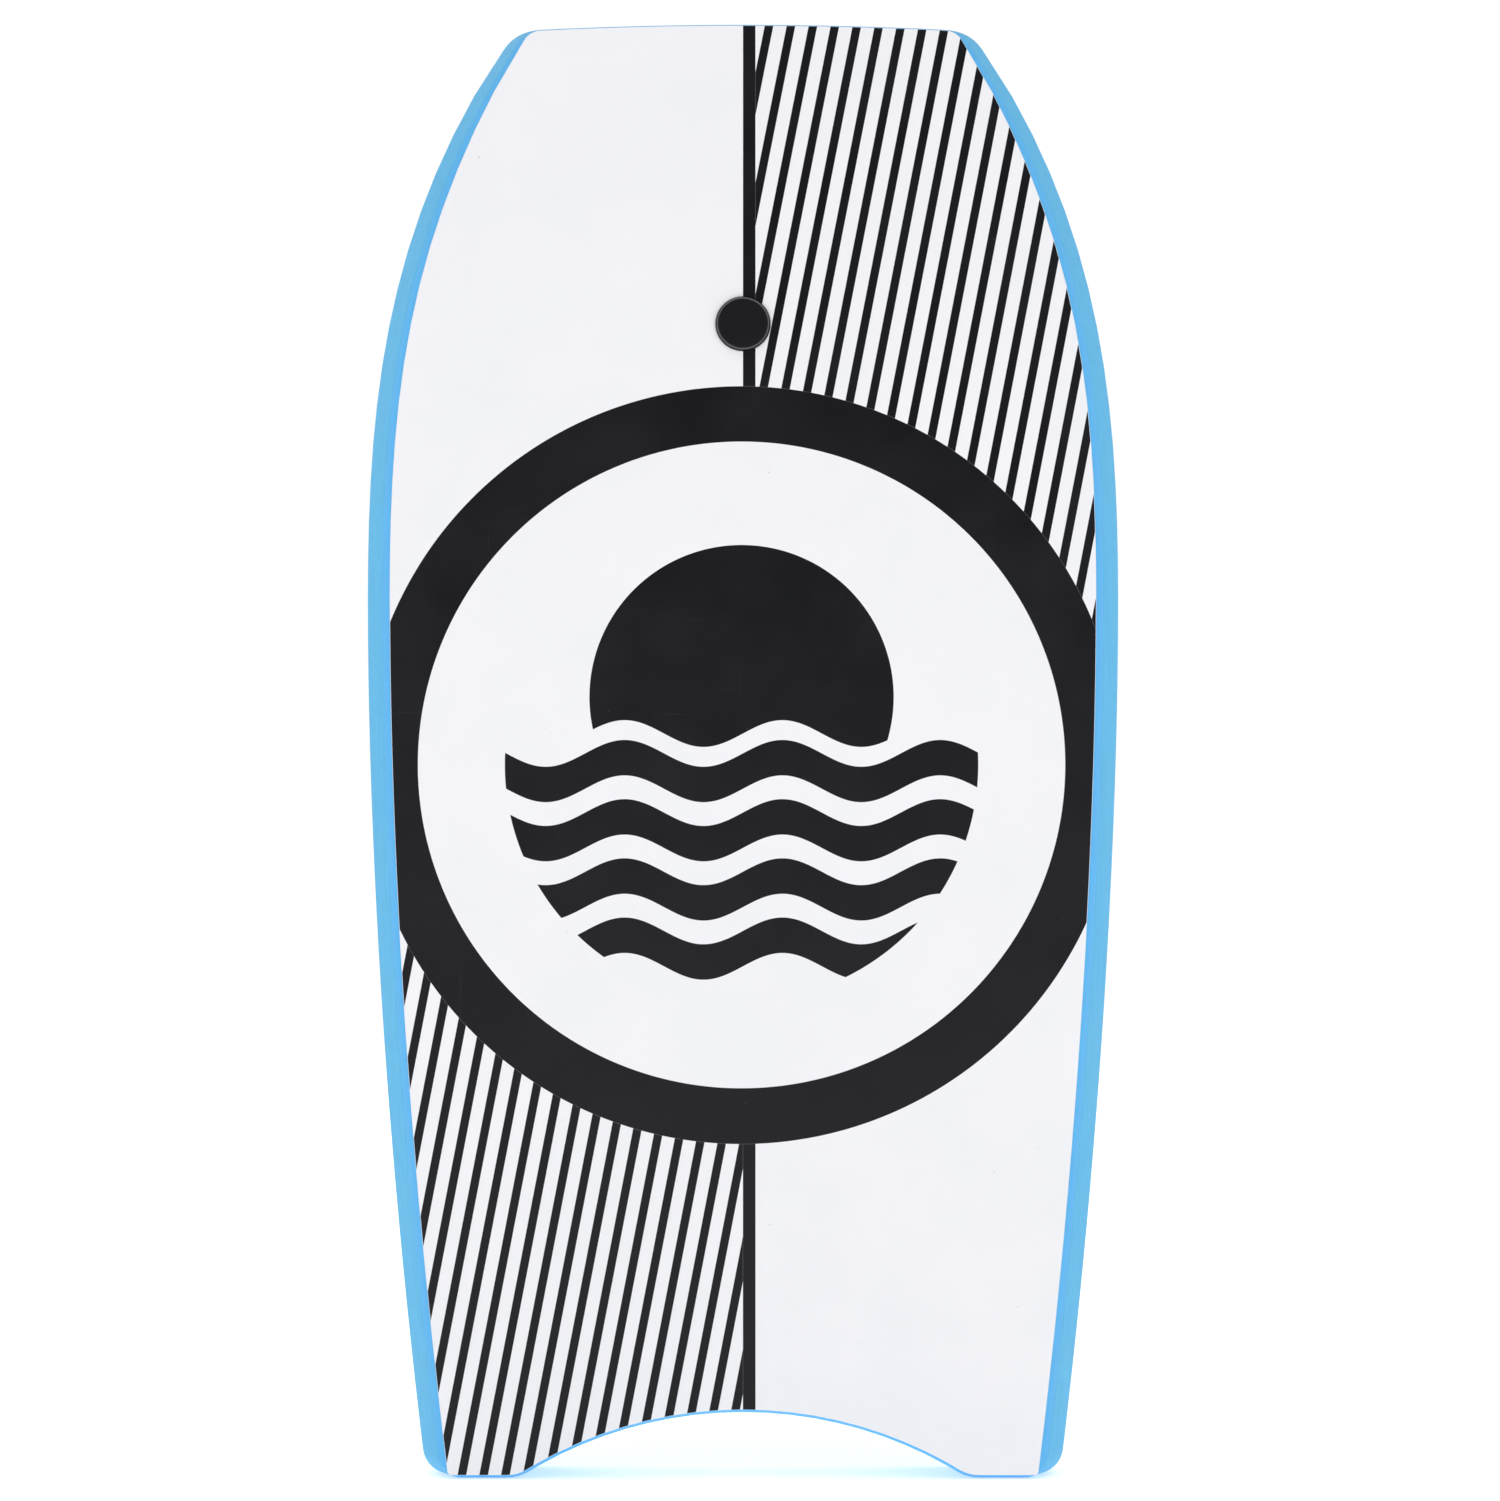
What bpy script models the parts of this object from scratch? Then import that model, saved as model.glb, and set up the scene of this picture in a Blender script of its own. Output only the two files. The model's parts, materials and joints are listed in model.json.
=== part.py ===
"""A 41-inch bodyboard: a foam core laminated between a deck skin and a printed slick.

The board stands on its tail. X runs across it, Y from the slick in front to the deck behind,
and Z from the tail up to the nose. Each sheet and strip is first built flat, from outlines of
the board at several depths below the slick's face, and is then bent to the rocker, which
carries the nose back towards the deck. A two-part leash plug is screwed through the nose end.
"""

import math

import bmesh
import bpy
from mathutils import Vector

# Driving dimensions of the board, in metres
LENGTH = 1.041
WIDTH = 0.5375
THICKNESS = 0.055
WIDEST_Z = 0.630  # height of the widest point above the tail
NOSE_PULL = 0.1072  # how far each side comes in from the widest point to the nose
NOSE_SQUARE_SHARE = 0.28  # share of that which grows as the square; the rest grows as the cube
TAIL_PULL = 0.0417  # how far each side comes in to the tail
TAIL_POWER = 1.85  # and the power that it grows as
NOSE_RADIUS = 2.9  # the nose is a very flat arc
NOTCH_DEPTH = 0.0465  # the crescent cut out of the tail
NOTCH_RADIUS = 0.296
NOTCH_ROUND = 0.030  # rounding where the crescent meets the tail's flats

# Rocker and thickness along the board
PLUG_Z = 0.821  # height of the leash plug
ROCKER_STEP = 0.056  # the bend is made of flat facets this long, one of them under the plug
ROCKER_START = PLUG_Z + ROCKER_STEP / 2 - 6 * ROCKER_STEP
NOSE_LIFT = 0.034  # how far the rocker carries the nose back
THIN_START = PLUG_Z + ROCKER_STEP / 2
NOSE_THINNING = 0.013  # how much thinner the board is at the nose

# Depths of the layers below the slick's outer face
GAP = 0.0003  # glue line between two pieces
SLICK_SHEET = 0.0010
BACKING_TOP = 0.0050
CHINE = 0.022  # the widest line of the rail
SKIN_FOOT = 0.0505
SKIN_SHOULDER = 0.0535

# Edges of the layers: insets at the side, nose and tail, then corner radii at the nose and tail
FILM_FACE_EDGE = (0.0181, 0.0034, 0.0028, 0.014, 0.003)
FILM_BACK_EDGE = (0.0177, 0.0032, 0.0026, 0.014, 0.003)
BACKING_FACE_EDGE = (0.0175, 0.0030, 0.0024, 0.014, 0.004)
BACKING_BACK_EDGE = (0.0122, 0.0019, 0.0003, 0.020, 0.017)
FOOT_EDGE = (0.0120, 0.0018, 0, 0.020, 0.017)
FOOT_INNER_EDGE = (0.0175, 0.0073, 0.0055, 0.015, 0.012)
CHINE_EDGE = (0, 0, 0, 0.030, 0.0195)
CHINE_INNER_EDGE = (0.0055, 0.0055, 0.0055, 0.025, 0.014)
TOP_EDGE = (0.0080, 0.0060, 0, 0.024, 0.020)
TOP_INNER_EDGE = (0.0135, 0.0115, 0.0055, 0.019, 0.015)
SKIN_FOOT_EDGE = (0.0082, 0.0062, 0.0003, 0.024, 0.020)
SKIN_SHOULDER_EDGE = (0.0092, 0.0072, 0.0012, 0.023, 0.019)
SKIN_FACE_EDGE = (0.0118, 0.0098, 0.0036, 0.021, 0.017)

# Rails near the nose
NOSE_TAPER = 0.145  # the rail's bevels narrow over this last stretch
NOSE_TAPER_SHARE = 0.28

# Hand bulbs, raised in the deck skin at the nose's corners
BULB_X = 0.118
BULB_Z = 0.955
BULB_HALF_WIDTH = 0.062
BULB_HALF_HEIGHT = 0.068
BULB_RISE = 0.007
BULB_ROWS = 12  # cuts across and along the skin, so that the bulbs come out round
BULB_ROW_STEP = ROCKER_STEP / 4
BULB_COLUMNS = 9
BULB_COLUMN_STEP = 0.020

# Leash plug
BORE_RADIUS = 0.0155
SOCKET_OUTER = 0.0152
SOCKET_INNER = 0.0128
SOCKET_END = 0.044
BASE_RADIUS = 0.0198
BASE_FLANGE = 0.0026
BASE_FACE = 0.0172  # radius of the disc's flat face, inside its rounded rim
BASE_SHOULDER = 0.0188
BASE_SHOULDER_DROP = 0.0005
BASE_RIM_DROP = 0.0015
STEM_RADIUS = 0.0125
STEM_START = 0.014
STEM_BEVEL = 0.0010
HEAD_RADIUS = 0.0200
HEAD_FLANGE = 0.0028
HEAD_BEVEL = 0.0012
CUP_RADIUS = 0.0095
CUP_DEPTH = 0.0110
CUP_BEVEL = 0.0006
BAR_WIDTH = 0.0040
BAR_HEIGHT = 0.0045
BAR_SINK = 0.0016  # how far the bar's top lies below the head's face
BAR_ROOT = 0.0010  # how far each end of the bar goes into the cup's wall
PLUG_SIDES = 32

# How finely the outline is drawn
NOTCH_STEPS = 10
NOSE_STEPS = 5
NOTCH_CORNER_STEPS = 4
TAIL_CORNER_STEPS = 8
NOSE_CORNER_STEPS = 6
SIDE_STEP = ROCKER_STEP / 2
SIDE_BELOW_PLUG = 28
SIDE_ABOVE_PLUG = 6

SAME_PLACE = 1e-6  # points nearer than this are one point
SHEET_SHARP = math.radians(25)  # edges bent by more than this stay sharp
PLUG_SHARP = math.radians(35)


def material(name, colour, roughness):
    """A plain Principled material; none of the board's surfaces is metal."""
    made = bpy.data.materials.new(name)
    made.use_nodes = True
    shader = made.node_tree.nodes["Principled BSDF"]
    shader.inputs["Base Color"].default_value = (*colour, 1)
    shader.inputs["Roughness"].default_value = roughness
    shader.inputs["Metallic"].default_value = 0
    made.diffuse_color = (*colour, 1)
    return made


# The plan outline


def half_width(z):
    """Half the board's width at height z, before its corners are rounded."""
    if z >= WIDEST_Z:
        t = (z - WIDEST_Z) / (LENGTH - WIDEST_Z)
        return WIDTH / 2 - NOSE_PULL * (NOSE_SQUARE_SHARE * t**2 + (1 - NOSE_SQUARE_SHARE) * t**3)
    return WIDTH / 2 - TAIL_PULL * ((WIDEST_Z - z) / WIDEST_Z) ** TAIL_POWER


def side_x(z, inset):
    """x of the right side at height z, set in from the rail, and by less near the nose."""
    near_nose = max(0.0, 1 - (LENGTH - z) / NOSE_TAPER)
    return half_width(z) - inset * (1 - NOSE_TAPER_SHARE * near_nose**2)


def rounded(before, corner, after, radius, steps):
    """The points of an arc that rounds the corner between two straight edges."""
    to_before = (before - corner).normalized()
    to_after = (after - corner).normalized()
    half_angle = to_before.angle(to_after) / 2
    centre = corner + (to_before + to_after).normalized() * radius / math.sin(half_angle)
    reach = radius / math.tan(half_angle)
    start = (corner + to_before * reach - centre).normalized()
    end = (corner + to_after * reach - centre).normalized()
    return [centre + start.slerp(end, i / steps) * radius for i in range(steps + 1)]


def right_half(side, nose, tail, nose_round, tail_round, gap):
    """The right half of an outline, from the middle of the crescent to that of the nose.

    side, nose and tail say how far it is set in from the board's own edge, and gap is
    a further inset all round. Points have no depth yet: they lie in the plane y = 0.
    """
    notch_centre = Vector((0, 0, NOTCH_DEPTH - NOTCH_RADIUS))
    notch_radius = NOTCH_RADIUS + tail + gap
    tail_z = tail + gap
    notch_angle = math.acos((tail_z - notch_centre.z) / notch_radius)
    notch = [
        notch_centre + notch_radius * Vector((math.sin(a), 0, math.cos(a)))
        for a in (notch_angle * i / NOTCH_STEPS for i in range(NOTCH_STEPS + 1))
    ]
    tail_corner = Vector((side_x(tail_z, side) - gap, 0, tail_z))

    lowest = PLUG_Z - SIDE_BELOW_PLUG * SIDE_STEP
    heights = [lowest + i * SIDE_STEP for i in range(SIDE_BELOW_PLUG + SIDE_ABOVE_PLUG + 1)]
    side_points = [Vector((side_x(z, side) - gap, 0, z)) for z in heights]

    nose_centre_z = LENGTH - NOSE_RADIUS
    nose_radius = NOSE_RADIUS - nose - gap
    corner_z = LENGTH
    for _ in range(12):  # the corner is where the side and the nose's arc cross
        corner_x = side_x(corner_z, side) - gap
        corner_z = nose_centre_z + math.sqrt(nose_radius**2 - corner_x**2)
    nose_corner = Vector((corner_x, 0, corner_z))
    nose_points = []
    for i in range(1, NOSE_STEPS + 1):
        x = corner_x * (1 - i / NOSE_STEPS)
        nose_points.append(Vector((x, 0, nose_centre_z + math.sqrt(nose_radius**2 - x**2))))

    notch_round = NOTCH_ROUND - tail - gap
    return (
        notch[:-1]
        + rounded(notch[-2], notch[-1], tail_corner, notch_round, NOTCH_CORNER_STEPS)
        + rounded(notch[-1], tail_corner, side_points[0], tail_round, TAIL_CORNER_STEPS)
        + side_points
        + rounded(side_points[-1], nose_corner, nose_points[0], nose_round, NOSE_CORNER_STEPS)
        + nose_points
    )


def ring(depth, edge, gap=0.0):
    """A closed outline of the board at one depth below the slick's face."""
    right = right_half(*edge, gap)
    left = [Vector((-p.x, 0, p.z)) for p in reversed(right[1:-1])]
    return [p + Vector((0, depth, 0)) for p in right + left]


TAIL_SEAM = NOTCH_STEPS + NOTCH_CORNER_STEPS + 1  # where a rail meets the tail strip
NOSE_SEAM = (  # and where it meets the nose strip
    TAIL_SEAM
    + TAIL_CORNER_STEPS
    + 1
    + SIDE_BELOW_PLUG
    + SIDE_ABOVE_PLUG
    + 1
    + NOSE_CORNER_STEPS
)


# Bending the flat pieces


def rocker(z):
    return NOSE_LIFT * (max(0.0, z - ROCKER_START) / (LENGTH - ROCKER_START)) ** 2


def thinning(z):
    return NOSE_THINNING * (max(0.0, z - THIN_START) / (LENGTH - THIN_START)) ** 2


def faceted(curve, z):
    """The curve's value at z when it is drawn as straight runs of ROCKER_STEP."""
    low = ROCKER_START + math.floor((z - ROCKER_START) / ROCKER_STEP) * ROCKER_STEP
    t = (z - low) / ROCKER_STEP
    return (1 - t) * curve(low) + t * curve(low + ROCKER_STEP)


def bent(point):
    """Where a point of the flat board goes once the board is bent and thinned."""
    share = (point.y - BACKING_TOP) / (SKIN_FOOT - BACKING_TOP)
    share = min(1.0, max(0.0, share))
    y = point.y + faceted(rocker, point.z) - share * faceted(thinning, point.z)
    return Vector((point.x, y, point.z))


def bulb_rise(point):
    """Height of the hand bulbs above the deck at a point."""
    across = (abs(point.x) - BULB_X) / BULB_HALF_WIDTH
    along = (point.z - BULB_Z) / BULB_HALF_HEIGHT
    return BULB_RISE * max(0.0, 1 - across**2 - along**2) ** 2


def bisect(bm, faces, plane_co, plane_no):
    """Cuts the faces along a plane, and leaves them joined."""
    edges = {e for f in faces for e in f.edges}
    verts = {v for f in faces for v in f.verts}
    geometry = list(verts) + list(edges) + list(faces)
    bmesh.ops.bisect_plane(bm, geom=geometry, dist=SAME_PLACE, plane_co=plane_co, plane_no=plane_no)


def cut_at_facets(bm):
    """Cuts the piece across at each fold of the rocker."""
    z = ROCKER_START
    while z < LENGTH:
        bisect(bm, bm.faces[:], (0, 0, z), (0, 0, 1))
        z += ROCKER_STEP


def board_object(name, bm, finish):
    """Bends a flat piece and makes it an object of the board."""
    bmesh.ops.recalc_face_normals(bm, faces=bm.faces[:])
    for v in bm.verts:
        v.co = bent(v.co)
    mesh = bpy.data.meshes.new(name)
    bm.to_mesh(mesh)
    bm.free()
    mesh.materials.append(finish)
    mesh.shade_smooth()
    mesh.set_sharp_from_angle(angle=SHEET_SHARP)
    made = bpy.data.objects.new(name, mesh)
    bpy.context.scene.collection.objects.link(made)
    made.parent = board_frame
    return made


def lofted(rings):
    """A flat solid with one wall from each ring to the next, closed by the first and last.

    Walls are split along the same diagonal as a strip's, so that the two stay a glue line apart.
    """
    bm = bmesh.new()
    rows = [[bm.verts.new(p) for p in points] for points in rings]
    for lower, upper in zip(rows, rows[1:]):
        for i in range(len(lower)):
            j = (i + 1) % len(lower)
            bm.faces.new((lower[i], lower[j], upper[j]))
            bm.faces.new((lower[i], upper[j], upper[i]))
    bm.faces.new(rows[0])
    bm.faces.new(rows[-1])
    return bm


def sheet(name, rings, finish):
    """A sheet or block that covers the whole plan of the board."""
    bm = lofted(rings)
    cut_at_facets(bm)
    return board_object(name, bm, finish)


def strip(name, rings, first, last, finish):
    """A strip that follows the edge from outline point first to last, cut square at both ends.

    The rings are the corners of its section in order. Each end stands half a glue line
    back from the seam.
    """
    bm = bmesh.new()
    count = len(rings[0])
    sections = []
    for i in range(first, last + 1):
        section = [points[i % count].copy() for points in rings]
        if i in (first, last):
            ahead = 1 if i == first else -1
            for corner, points in zip(section, rings):
                onward = points[(i + ahead) % count] - corner
                corner += onward.normalized() * GAP / 2
        sections.append([bm.verts.new(p) for p in section])
    for here, there in zip(sections, sections[1:]):
        for k in range(len(here)):
            m = (k + 1) % len(here)
            bm.faces.new((here[k], here[m], there[k]))
            bm.faces.new((here[m], there[m], there[k]))
    bm.faces.new(sections[0])
    bm.faces.new(sections[-1])
    return board_object(name, bm, finish)


def turned(name, profile, finish):
    """A solid of revolution about the plug's axis, from a profile of (radius, height)."""
    bm = bmesh.new()
    chain = [bm.verts.new((radius, 0, height)) for radius, height in profile]
    edges = [bm.edges.new(pair) for pair in zip(chain, chain[1:])]
    bmesh.ops.spin(
        bm,
        geom=chain + edges,
        cent=(0, 0, 0),
        axis=(0, 0, 1),
        angle=2 * math.pi,
        steps=PLUG_SIDES,
        use_merge=True,
    )
    bmesh.ops.remove_doubles(bm, verts=bm.verts[:], dist=SAME_PLACE)
    bmesh.ops.recalc_face_normals(bm, faces=bm.faces[:])
    mesh = bpy.data.meshes.new(name)
    bm.to_mesh(mesh)
    bm.free()
    mesh.materials.append(finish)
    mesh.shade_smooth()
    mesh.set_sharp_from_angle(angle=PLUG_SHARP)
    made = bpy.data.objects.new(name, mesh)
    bpy.context.scene.collection.objects.link(made)
    made.parent = plug_axis
    return made


def tool(name, mesh):
    """A hidden shape that cuts or joins other pieces, placed on the plug's axis."""
    made = bpy.data.objects.new(name, mesh)
    bpy.context.scene.collection.objects.link(made)
    made.parent = plug_axis
    made.hide_render = True
    made.display_type = "WIRE"
    return made


def add_boolean(piece, operation, other):
    boolean = piece.modifiers.new(operation.title(), "BOOLEAN")
    boolean.operation = operation
    boolean.solver = "EXACT"
    boolean.object = other


for leftover in list(bpy.data.objects):
    bpy.data.objects.remove(leftover)

slick_film = material("slick_film", (0.87, 0.87, 0.90), 0.30)
rail_foam = material("rail_foam", (0.15, 0.53, 0.83), 0.55)
deck_foam = material("deck_foam", (0.15, 0.53, 0.83), 0.70)
core_foam = material("core_foam", (0.90, 0.90, 0.88), 0.80)
plug_plastic = material("plug_plastic", (0.016, 0.016, 0.019), 0.40)

board_frame = bpy.data.objects.new("board_frame", None)
bpy.context.scene.collection.objects.link(board_frame)

# Slick: the printed plastic sheet, and the foam that backs it and shows as a bevel round it

slick_skin = sheet(
    "slick_skin",
    [
        ring(0, FILM_FACE_EDGE),
        ring(SLICK_SHEET, FILM_BACK_EDGE),
    ],
    slick_film,
)
slick_backing = sheet(
    "slick_backing",
    [
        ring(SLICK_SHEET + GAP, BACKING_FACE_EDGE),
        ring(BACKING_TOP, BACKING_BACK_EDGE),
    ],
    rail_foam,
)

# Core: one block of foam inside the strips

foot_depth = BACKING_TOP + GAP
top_depth = SKIN_FOOT - GAP
foam_core = sheet(
    "foam_core",
    [
        ring(foot_depth, FOOT_INNER_EDGE, GAP),
        ring(CHINE, CHINE_INNER_EDGE, GAP),
        ring(top_depth, TOP_INNER_EDGE, GAP),
    ],
    core_foam,
)

# Edge strips: a lower and an upper rail on each side, and one strip across each end

lower_rings = [
    ring(foot_depth, FOOT_EDGE),
    ring(CHINE - GAP / 2, CHINE_EDGE),
    ring(CHINE - GAP / 2, CHINE_INNER_EDGE),
    ring(foot_depth, FOOT_INNER_EDGE),
]
upper_rings = [
    ring(CHINE + GAP / 2, CHINE_EDGE),
    ring(top_depth, TOP_EDGE),
    ring(top_depth, TOP_INNER_EDGE),
    ring(CHINE + GAP / 2, CHINE_INNER_EDGE),
]
end_rings = [
    ring(foot_depth, FOOT_EDGE),
    ring(CHINE, CHINE_EDGE),
    ring(top_depth, TOP_EDGE),
    ring(top_depth, TOP_INNER_EDGE),
    ring(CHINE, CHINE_INNER_EDGE),
    ring(foot_depth, FOOT_INNER_EDGE),
]
ring_count = len(end_rings[0])
spans = {
    "right": (TAIL_SEAM, NOSE_SEAM),
    "left": (ring_count - NOSE_SEAM, ring_count - TAIL_SEAM),
}
for hand, (first, last) in spans.items():
    strip(f"{hand}_lower_rail", lower_rings, first, last, rail_foam)
    strip(f"{hand}_upper_rail", upper_rings, first, last, rail_foam)
strip("nose_strip", end_rings, NOSE_SEAM, ring_count - NOSE_SEAM, rail_foam)
strip("tail_strip", end_rings, ring_count - TAIL_SEAM, ring_count + TAIL_SEAM, rail_foam)

# Deck: a foam skin with a raised hand bulb in each corner of the nose

deck_bm = lofted(
    [
        ring(SKIN_FOOT, SKIN_FOOT_EDGE),
        ring(SKIN_SHOULDER, SKIN_SHOULDER_EDGE),
        ring(THICKNESS, SKIN_FACE_EDGE),
    ]
)
cut_at_facets(deck_bm)
for i in range(1, BULB_ROWS + 1):
    height = THIN_START + i * BULB_ROW_STEP
    above = [f for f in deck_bm.faces if f.calc_center_median().z > THIN_START]
    bisect(deck_bm, above, (0, 0, height), (0, 0, 1))
for i in range(-BULB_COLUMNS, BULB_COLUMNS + 1):
    above = [f for f in deck_bm.faces if f.calc_center_median().z > THIN_START]
    bisect(deck_bm, above, (i * BULB_COLUMN_STEP, 0, 0), (1, 0, 0))
deck_skin = board_object("deck_skin", deck_bm, deck_foam)
for vertex in deck_skin.data.vertices:
    face_y = bent(Vector((vertex.co.x, THICKNESS, vertex.co.z))).y
    if vertex.co.y > face_y - 10 * SAME_PLACE:
        vertex.co.y += bulb_rise(vertex.co)

# Leash plug: a socket through the board from the slick, and a head screwed into it from the deck

plug_low = rocker(PLUG_Z - ROCKER_STEP / 2)
plug_high = rocker(PLUG_Z + ROCKER_STEP / 2)
plug_slope = (plug_high - plug_low) / ROCKER_STEP
plug_axis = bpy.data.objects.new("plug_axis", None)
bpy.context.scene.collection.objects.link(plug_axis)
plug_axis.parent = board_frame
plug_axis.location = (0, (plug_low + plug_high) / 2, PLUG_Z)
plug_axis.rotation_euler.x = -math.pi / 2 - math.atan(plug_slope)

flange_low = -GAP - BASE_FLANGE
turned(
    "leash_plug_base",
    [
        (0, flange_low),
        (BASE_FACE, flange_low),
        (BASE_SHOULDER, flange_low + BASE_SHOULDER_DROP),
        (BASE_RADIUS, flange_low + BASE_RIM_DROP),
        (BASE_RADIUS, -GAP),
        (SOCKET_OUTER, -GAP),
        (SOCKET_OUTER, SOCKET_END),
        (SOCKET_INNER, SOCKET_END),
        (SOCKET_INNER, GAP),
        (0, GAP),
    ],
    plug_plastic,
)

deck_face = THICKNESS / math.sqrt(1 + plug_slope**2)
flange_foot = deck_face + GAP
flange_top = flange_foot + HEAD_FLANGE
cup_floor = flange_top - CUP_DEPTH
head = turned(
    "leash_plug_head",
    [
        (0, STEM_START),
        (STEM_RADIUS - STEM_BEVEL, STEM_START),
        (STEM_RADIUS, STEM_START + STEM_BEVEL),
        (STEM_RADIUS, flange_foot),
        (HEAD_RADIUS, flange_foot),
        (HEAD_RADIUS, flange_top - HEAD_BEVEL),
        (HEAD_RADIUS - HEAD_BEVEL, flange_top),
        (CUP_RADIUS + CUP_BEVEL, flange_top),
        (CUP_RADIUS, flange_top - CUP_BEVEL),
        (CUP_RADIUS, cup_floor),
        (0, cup_floor),
    ],
    plug_plastic,
)

bar_bm = bmesh.new()
bmesh.ops.create_cube(bar_bm, size=1)
bar_reach = 2 * (CUP_RADIUS + BAR_ROOT)
for vertex in bar_bm.verts:
    vertex.co.x *= bar_reach
    vertex.co.y *= BAR_WIDTH
    vertex.co.z = vertex.co.z * BAR_HEIGHT + flange_top - BAR_SINK - BAR_HEIGHT / 2
bar_mesh = bpy.data.meshes.new("leash_bar")
bar_bm.to_mesh(bar_mesh)
bar_bm.free()
bar_mesh.materials.append(plug_plastic)
add_boolean(head, "UNION", tool("leash_bar", bar_mesh))

bore_bm = bmesh.new()
bmesh.ops.create_cone(
    bore_bm,
    cap_ends=True,
    segments=PLUG_SIDES,
    radius1=BORE_RADIUS,
    radius2=BORE_RADIUS,
    depth=2 * THICKNESS,
)
bmesh.ops.translate(bore_bm, verts=bore_bm.verts, vec=(0, 0, THICKNESS / 2))
bore_mesh = bpy.data.meshes.new("plug_bore")
bore_bm.to_mesh(bore_mesh)
bore_bm.free()
plug_bore = tool("plug_bore", bore_mesh)
for piece in (slick_skin, slick_backing, foam_core, deck_skin):
    add_boolean(piece, "DIFFERENCE", plug_bore)

# The board's frame: its origin is below the middle of its depth
board_frame.location.y = -max(v.co.y for v in deck_skin.data.vertices) / 2
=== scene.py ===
import json
import math

import bpy
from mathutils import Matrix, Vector

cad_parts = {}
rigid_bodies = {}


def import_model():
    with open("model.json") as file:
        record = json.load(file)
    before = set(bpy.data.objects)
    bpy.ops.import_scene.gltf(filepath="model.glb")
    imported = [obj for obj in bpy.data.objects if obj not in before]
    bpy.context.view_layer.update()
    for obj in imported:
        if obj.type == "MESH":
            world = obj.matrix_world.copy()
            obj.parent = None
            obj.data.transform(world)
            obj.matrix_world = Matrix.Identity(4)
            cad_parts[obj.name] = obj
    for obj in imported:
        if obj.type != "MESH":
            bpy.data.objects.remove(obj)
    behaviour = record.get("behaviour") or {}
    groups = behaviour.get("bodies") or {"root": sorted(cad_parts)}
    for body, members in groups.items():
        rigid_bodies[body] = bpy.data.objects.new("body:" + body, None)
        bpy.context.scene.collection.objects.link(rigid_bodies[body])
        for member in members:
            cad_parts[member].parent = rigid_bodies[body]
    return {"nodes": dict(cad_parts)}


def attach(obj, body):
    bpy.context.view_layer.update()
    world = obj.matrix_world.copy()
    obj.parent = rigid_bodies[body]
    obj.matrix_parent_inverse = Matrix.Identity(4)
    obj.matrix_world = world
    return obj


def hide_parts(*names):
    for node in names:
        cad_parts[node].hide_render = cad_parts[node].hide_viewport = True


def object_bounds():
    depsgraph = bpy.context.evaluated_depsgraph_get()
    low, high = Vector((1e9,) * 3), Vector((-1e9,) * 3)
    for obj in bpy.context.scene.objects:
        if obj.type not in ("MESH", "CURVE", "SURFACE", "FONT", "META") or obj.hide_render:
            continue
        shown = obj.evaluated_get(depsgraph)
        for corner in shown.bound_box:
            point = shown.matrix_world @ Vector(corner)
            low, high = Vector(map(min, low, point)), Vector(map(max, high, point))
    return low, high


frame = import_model()
cad_low, cad_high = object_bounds()

# Core. The block that gives the board its shape: beads of expanded polypropylene, steamed
# together in a mould, hot-wired to the outline and glued in between the skins and strips.

BEAD_SIZE = 0.0035
BEAD_RELIEF = 0.0004  # how deep the seams between the beads lie
CORE_WHITE = (0.86, 0.86, 0.83, 1)
CORE_SEAM = (0.66, 0.66, 0.62, 1)


def place(tree, kind, settings=None, inputs=None):
    """A shader node with its settings made, and each input linked or set."""
    made = tree.nodes.new("ShaderNode" + kind)
    for name, value in (settings or {}).items():
        setattr(made, name, value)
    for name, value in (inputs or {}).items():
        if isinstance(value, bpy.types.NodeSocket):
            tree.links.new(value, made.inputs[name])
        else:
            made.inputs[name].default_value = value
    return made


def maths(tree, operation, *values):
    """The result of one Math node, such as "MULTIPLY", on the values."""
    return place(tree, "Math", {"operation": operation}, dict(enumerate(values))).outputs[0]


def graded(tree, value, low, high, to_low=0.0, to_high=1.0):
    """The value taken from one range to another, and held at its ends."""
    ends = {"From Min": low, "From Max": high, "To Min": to_low, "To Max": to_high}
    return place(tree, "MapRange", None, {"Value": value, **ends}).outputs[0]


def tinted(tree, share, first, second):
    """A colour between two others."""
    mixer = place(tree, "Mix", {"data_type": "RGBA"}, {0: share, 6: first, 7: second})
    return mixer.outputs[2]


def new_finish(name, roughness):
    """A material, its tree, its shader and the piece's own coordinates."""
    made = bpy.data.materials.new(name)
    made.use_nodes = True
    tree = made.node_tree
    shader = tree.nodes["Principled BSDF"]
    shader.inputs["Roughness"].default_value = roughness
    place_on_piece = place(tree, "TexCoord").outputs["Object"]
    return made, tree, shader, place_on_piece


def raise_surface(tree, shader, height, distance, strength=1.0):
    """Bumps the shader's normal by a height from 0 to 1 that stands for a distance in metres."""
    inputs = {"Height": height, "Distance": distance, "Strength": strength}
    bump = place(tree, "Bump", None, inputs)
    tree.links.new(bump.outputs["Normal"], shader.inputs["Normal"])


core_finish, tree, shader, where = new_finish("core_beads", 0.8)
beads = place(
    tree, "TexVoronoi", {"feature": "DISTANCE_TO_EDGE"}, {"Vector": where, "Scale": 1 / BEAD_SIZE}
)
bead_face = graded(tree, beads.outputs["Distance"], 0.0, 0.16)
tree.links.new(tinted(tree, bead_face, CORE_SEAM, CORE_WHITE), shader.inputs["Base Color"])
raise_surface(tree, shader, bead_face, BEAD_RELIEF)
core = frame["nodes"]["foam_core"]
core.data.materials.clear()
core.data.materials.append(core_finish)

# Slick. A sheet of white plastic film, 1 mm thick, printed in black with screen ink, die-cut a
# little smaller than the board and heat-laminated to the foam behind it.

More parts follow.
